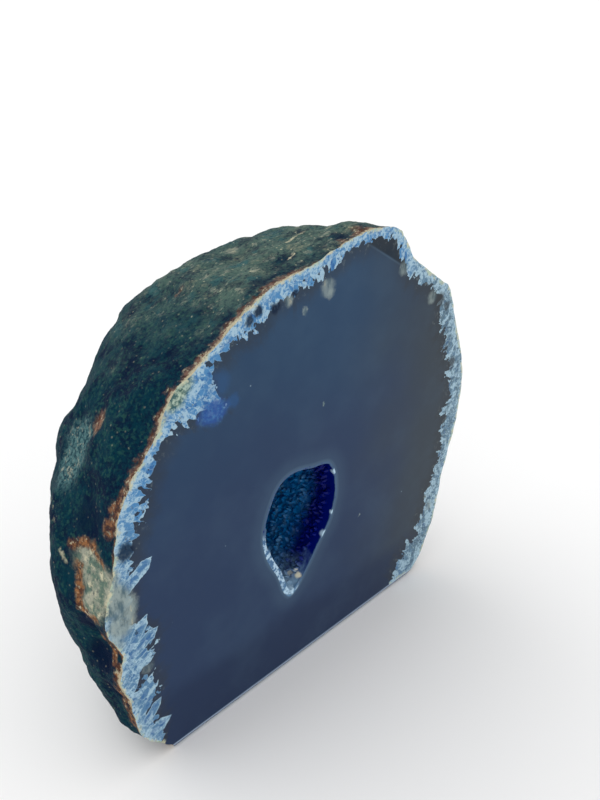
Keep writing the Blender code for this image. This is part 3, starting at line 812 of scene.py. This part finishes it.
def dyed_rind():
    """The natural rind: mottled teal and olive, with rust and cream along the sawn rim and its own patches."""
    stone = look("geode_stone")
    f = Finish("dyed rind")
    y, z = f.part(f.place, "Y") - FACE_Y, f.part(f.place, "Z")
    broad = f.noise(f.place, 18 * MM, 4, 0.55)
    patchy = f.noise(f.place, 7 * MM, 4, 0.6)
    mottle = f.noise(f.place, 2.4 * MM, 5, 0.7)
    fine = f.noise(f.place, 0.8 * MM, 4, 0.75)
    grain = f.part(f.cells(f.place, output="Color", size=0.55 * MM), "X")
    rind = f.mix((patchy * 0.6 + mottle * 0.5).step(0.6, 0.46) * 0.8, stone.teal, stone.navy)
    rind = f.mix((grain * 0.35 + fine * 0.9).step(0.62, 0.84) * 0.6, rind, stone.moss)
    # Lighter towards the top: partly painted top light, partly the rind's own olive and tan patches.
    high = (z + (broad - 0.5) * 50 * MM + (patchy - 0.5) * 30 * MM).step(76 * MM, 104 * MM)
    high = high * (0.25 + mottle * 0.75 + (fine - 0.5) * 1.3)
    rind = f.mix(high, rind, stone.olive)
    streak = f.noise(f.vector("MULTIPLY", f.place, (0.6, 1.0, 1.4)), 2.0 * MM, 5, 0.7)
    rind = f.mix(streak.step(0.54, 0.66) * high * 0.9, rind, stone.buff)
    blotch = f.noise(f.place, 4.5 * MM, 4, 0.65)
    rind = f.mix(blotch.step(0.53, 0.64) * 0.7, rind, f.mix(high, stone.teal, stone.teal_pale))
    rind = f.mix(blotch.step(0.44, 0.34) * high * 0.8, rind, f.mix(fine.step(0.4, 0.6), stone.olive, stone.tan))
    rind = f.mix(patchy.step(0.47, 0.36) * streak.step(0.56, 0.42) * 0.65, rind, stone.navy)
    shore = (y + (patchy - 0.5) * 12 * MM).step(7 * MM, 2 * MM) * mottle.step(0.4, 0.56)
    rind = f.mix(shore * 0.8, rind, f.mix(fine.step(0.42, 0.6), stone.navy, stone.teal))
    # Iron stain and cream flecks along the sawn rim
    stain = f.noise(f.place, 7 * MM, 3, 0.6)
    edge = y + (mottle - 0.5) * 4 * MM + (fine - 0.5) * 3 * MM + (stain - 0.5) * 9 * MM
    rust = f.mix(z.step(60 * MM, 76 * MM), stone.rust, stone.rust_high)
    iron = f.mix(f.noise(f.place, 1.3 * MM, 3, 0.6).step(0.42, 0.58), stone.umber, rust)
    iron = f.mix(f.noise(f.place, 1.0 * MM, 3, 0.6).step(0.56, 0.66) * 0.7, iron, stone.cream)
    iron = f.mix(f.noise(f.place, 1.7 * MM, 4, 0.7).step(0.56, 0.64) * 0.6, iron, stone.navy)
    rind = f.mix(edge.step(1.9 * MM, 0.3 * MM) * 0.85, rind, iron)
    # Patches and lines
    near = f.bent(f.bent(f.place, 4 * MM, 1.2 * MM), 1.1 * MM, 0.8 * MM)
    buff = f.mix(mottle.step(0.42, 0.6), stone.olive, stone.buff)
    buff = f.mix(streak.step(0.5, 0.66) * 0.8, buff, stone.cream)
    chip = f.mix(fine.step(0.6, 0.42) * 0.8, stone.chip, stone.teal)
    chip = f.mix(f.noise(f.place, 1.2 * MM, 3, 0.7).step(0.54, 0.66) * 0.8, chip, stone.buff)
    patches = shades(stone, ("navy", "teal", "cream"), rust=iron, buff=buff, chip=chip)
    rind = spotted(f, rind, near, RIND_SPOTS, patches)
    rind = lined(f, rind, near, RIND_LINES, patches)
    cream = (y + (fine - 0.5) * 3 * MM + (stain - 0.5) * 4 * MM).step(0.5 * MM, 0.1 * MM)
    rind = f.mix(cream * 0.7, rind, stone.cream)
    # Grain over everything
    rind = f.mix(fine.step(0.48, 0.32) * 0.6, rind, stone.navy)
    fleck = f.cells(f.place, size=1.5 * MM).step(0.2, 0.08) * fine.step(0.4, 0.6)
    rind = f.mix(fleck * (0.2 + high * 0.5), rind, stone.cream)
    bump = mottle * 0.6 + fine * 0.5 + grain * 0.15
    return f.finish(
        Base_Color=rind, Roughness=0.68 - fine * 0.2, Specular_IOR_Level=0.025, bump=bump, height=0.6 * MM
    )


def ground_agate():
    """The ground base and bevel, satin and paler than the polish."""
    stone = look("geode_stone")
    f = Finish("ground agate")
    cloud = f.noise(f.place, 12 * MM, 4, 0.6)
    fine = f.noise(f.vector("MULTIPLY", f.place, (0.3, 1, 1)), 0.9 * MM, 3, 0.7)
    shade = f.mix(cloud * 0.5 + fine * 0.3, stone.ground, stone.blue)
    return f.finish(Base_Color=shade, Roughness=0.42, Specular_IOR_Level=0.3, bump=fine, height=0.03 * MM)


def make_crystal(height, radius, skin):
    """One six-sided quartz point, which is rooted in the skin over the origin and stands out of it."""
    bpy.ops.object.select_all(action="DESELECT")
    bpy.ops.mesh.primitive_cylinder_add(vertices=6, radius=radius, depth=height * 0.6, location=(0, 0, skin))
    crystal = bpy.context.object
    crystal.name = crystal.data.name = "quartz_point"
    bpy.ops.object.mode_set(mode="EDIT")
    select_faces(crystal, lambda centre: centre.z > height * 0.29)
    bpy.ops.mesh.extrude_region_move(TRANSFORM_OT_translate={"value": (0, 0, height * 0.6)})
    bpy.ops.transform.resize(value=(0.06, 0.22, 1))
    bpy.ops.object.mode_set(mode="OBJECT")
    bpy.ops.object.transform_apply(location=True, rotation=True, scale=True)
    return crystal


def scatter(bed, crystal, spacing):
    """Turns a surface into copies of a crystal that stand all over it."""
    tree = bpy.data.node_groups.new("crystal scatter", "GeometryNodeTree")
    tree.interface.new_socket("Geometry", in_out="INPUT", socket_type="NodeSocketGeometry")
    tree.interface.new_socket("Geometry", in_out="OUTPUT", socket_type="NodeSocketGeometry")
    g = Graph(tree)
    surface = g.node("NodeGroupInput")
    behind = g.part(g.node("GeometryNodeInputPosition"), "Y") > FACE_Y + 1.6 * MM
    points = g.node(
        "GeometryNodeDistributePointsOnFaces",
        {"distribute_method": "POISSON"},
        {"Mesh": surface, "Selection": behind, "Distance Min": spacing, "Density Max": 3e6, "Seed": 4},
    )
    upright = Value(g, points.socket.node.outputs["Rotation"])
    lean = g.node(
        "FunctionNodeRandomValue",
        {"data_type": "FLOAT_VECTOR"},
        {0: (-0.45, -0.45, -math.pi), 1: (0.45, 0.45, math.pi), "Seed": 7},
    )
    turned = g.node("FunctionNodeRotateRotation", {"rotation_space": "LOCAL"}, {0: upright, 1: lean})
    size = g.node(
        "FunctionNodeRandomValue",
        {"data_type": "FLOAT_VECTOR"},
        {0: (0.5, 0.5, 0.8), 1: (1, 1, 1.2), "Seed": 11},
    )
    shape = g.node("GeometryNodeObjectInfo", None, {"Object": crystal}, "Geometry")
    grown = g.node(
        "GeometryNodeInstanceOnPoints",
        None,
        {"Points": points, "Instance": shape, "Rotation": turned, "Scale": size},
    )
    real = g.node("GeometryNodeRealizeInstances", None, {0: grown})
    g.feed(tree.nodes.new("NodeGroupOutput").inputs[0], real)
    apply_modifier(bed, "NODES", node_group=tree)


def blue_quartz():
    """The hollow's quartz: navy on the shaded side, teal on the floor, pale at the rim, and pale painted light at the
    lower tip.
    """
    hollow = look("geode_hollow")
    f = Finish("blue quartz")
    x, y, z = (f.part(f.place, axis) for axis in "XYZ")
    cloud = f.noise(f.place, 6 * MM, 3, 0.6)
    fine = f.noise(f.place, 1.1 * MM, 3, 0.65)
    streak = f.noise(f.vector("MULTIPLY", f.place, (1, 1, 0.2)), 1.6 * MM, 3, 0.6)
    shaded = (y - FACE_Y + (cloud - 0.5) * 4 * MM).step(10 * MM, 4 * MM)
    quartz = f.mix(shaded, hollow.teal, hollow.navy)
    quartz = f.mix(streak.step(0.48, 0.7) * (1.0 - shaded) * 0.3, quartz, hollow.slate)
    # Painted light: paler slate, then pale, on the upturned floor at the lower end of the hollow.
    low = (z + (cloud - 0.5) * 5 * MM + (streak - 0.5) * 8 * MM).step(CRUST_LOW.z + 8 * MM, CRUST_LOW.z + 2 * MM)
    quartz = f.mix(low * (0.1 + fine * 0.9), quartz, hollow.slate)
    tip = (z + (fine - 0.5) * 4 * MM).step(CRUST_LOW.z + 4 * MM, CRUST_LOW.z + 1.5 * MM)
    quartz = f.mix(tip * 0.6, quartz, hollow.pale)
    left = (x + z * CREST_SLANT + (cloud - 0.5) * 6 * MM).step(CREST_OUTER, CREST_INNER)
    sparkle = f.noise(f.place, 1.5 * MM, 3, 0.7)
    pale = f.mix(sparkle.step(0.54, 0.46) * 0.9, hollow.pale, hollow.slate_deep)
    rim = f.mix(left, hollow.rim, pale)
    mouth = (y - FACE_Y + (fine - 0.5) * 1.2 * MM).step(0.3 * MM + left * 1.5 * MM, 0.05 * MM)
    quartz = f.mix(mouth * 0.9, quartz, rim)
    near = f.bent(f.place, 1.2 * MM, 0.5 * MM)
    quartz = spotted(f, quartz, near, GLINTS, shades(hollow, ("cream", "pale")))
    return f.finish(Base_Color=quartz, Roughness=0.16 + fine * 0.12, Specular_IOR_Level=0.1, IOR=1.54)


def thicken_skin(skin, hollow):
    """Makes the lining's surface solid, thickest low on the left, and level with the face."""
    only(skin)
    skin.vertex_groups.new(name=CREST_GROUP)
    bpy.ops.object.mode_set(mode="EDIT")
    for limit, weight in ((CREST_OUTER, 0.5), (CREST_INNER, 1.0)):
        select_points(skin, lambda place: place.x + place.z * CREST_SLANT < limit)
        bpy.context.scene.tool_settings.vertex_group_weight = weight
        bpy.ops.object.vertex_group_assign()
    bpy.ops.object.mode_set(mode="OBJECT")
    apply_modifier(
        skin,
        "SOLIDIFY",
        thickness=hollow.crest,
        offset=1.0,
        use_rim=True,
        vertex_group=CREST_GROUP,
        thickness_vertex_group=hollow.skin / hollow.crest,
    )
    bpy.ops.object.mode_set(mode="EDIT")
    select_points(skin, lambda place: place.y < FACE_Y + 0.2 * MM)
    bpy.ops.transform.resize(value=(1, 0, 1), center_override=(0, FACE_Y, 0))
    bpy.ops.object.mode_set(mode="OBJECT")


class GEODE_OT_crystal_lining(bpy.types.Operator):
    """Grows the quartz crystals that line the hollow"""

    bl_idname = "geode.crystal_lining"
    bl_label = "Crystal Lining"

    def execute(self, context):
        hollow = look("geode_hollow")
        skin = bpy.data.objects["lining_bed"]
        crystals = duplicate(skin, "crystals")
        crystal = make_crystal(hollow.height, hollow.radius, hollow.skin)
        scatter(crystals, crystal, hollow.spacing)
        bpy.data.objects.remove(crystal)
        thicken_skin(skin, hollow)
        crystals.select_set(True)
        bpy.ops.object.join()
        skin.name = skin.data.name = "crystal_lining"
        skin.hide_render = False
        skin.data.materials.clear()
        skin.data.materials.append(blue_quartz())
        bpy.ops.object.shade_flat()
        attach(skin, "root")
        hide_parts("crystal_crust")
        return {"FINISHED"}


class GEODE_OT_stage(bpy.types.Operator):
    """Sets up the floor, the soft light and the camera"""

    bl_idname = "geode.stage"
    bl_label = "Stage"

    def execute(self, context):
        stage = look("geode_stage")
        bpy.ops.object.select_all(action="DESELECT")
        bpy.ops.mesh.primitive_plane_add(size=20, location=(0, 0, 0))
        floor = context.object
        floor.name = "floor"
        plain = Finish("plain floor")
        floor.data.materials.append(plain.finish(Base_Color=stage.floor, Roughness=0.9, Specular_IOR_Level=0.1))
        world = bpy.data.worlds.new("studio")
        context.scene.world = world
        world.use_nodes = True
        sky = world.node_tree.nodes["Background"]
        sky.inputs["Color"].default_value = (1, 1, 1, 1)
        sky.inputs["Strength"].default_value = stage.sky_strength
        bpy.ops.object.light_add(type="SUN", location=(-0.3, 0.3, 0.6), rotation=SUN_TURN)
        sun = context.object
        sun.name = "sun"
        sun.data.energy = stage.sun_strength
        sun.data.angle = stage.sun_spread
        bpy.ops.object.camera_add(location=CAMERA_PLACE, rotation=CAMERA_TURN)
        camera = context.object
        camera.name = "camera"
        camera.data.lens = stage.lens
        camera.data.sensor_width = 36
        camera.data.clip_start = 0.01
        context.scene.camera = camera
        context.scene.view_settings.view_transform = "Standard"
        return {"FINISHED"}


class GEODE_PT_panel(bpy.types.Panel):
    """Lists the pieces of the half geode"""

    bl_idname = "GEODE_PT_panel"
    bl_label = "Half Geode"
    bl_space_type = "VIEW_3D"
    bl_region_type = "UI"
    bl_category = "Geode"

    def draw(self, context):
        for group, operator in zip(GROUPS, OPERATORS):
            box = self.layout.box()
            for name in GROUPS[group].__annotations__:
                box.prop(getattr(context.scene, group), name)
            box.operator(operator.bl_idname)


GROUPS = {"geode_stone": StoneLook, "geode_hollow": HollowLook, "geode_stage": StageLook}
OPERATORS = (GEODE_OT_polished_half, GEODE_OT_crystal_lining, GEODE_OT_stage)


def register():
    for name, group in GROUPS.items():
        bpy.utils.register_class(group)
        setattr(bpy.types.Scene, name, bpy.props.PointerProperty(type=group))
    for part in (*OPERATORS, GEODE_PT_panel):
        bpy.utils.register_class(part)


def unregister():
    for part in (GEODE_PT_panel, *reversed(OPERATORS)):
        bpy.utils.unregister_class(part)
    for name, group in GROUPS.items():
        delattr(bpy.types.Scene, name)
        bpy.utils.unregister_class(group)


def main():
    register()
    bpy.ops.geode.polished_half()
    bpy.ops.geode.crystal_lining()
    bpy.ops.geode.stage()


if __name__ == "__main__":
    main()
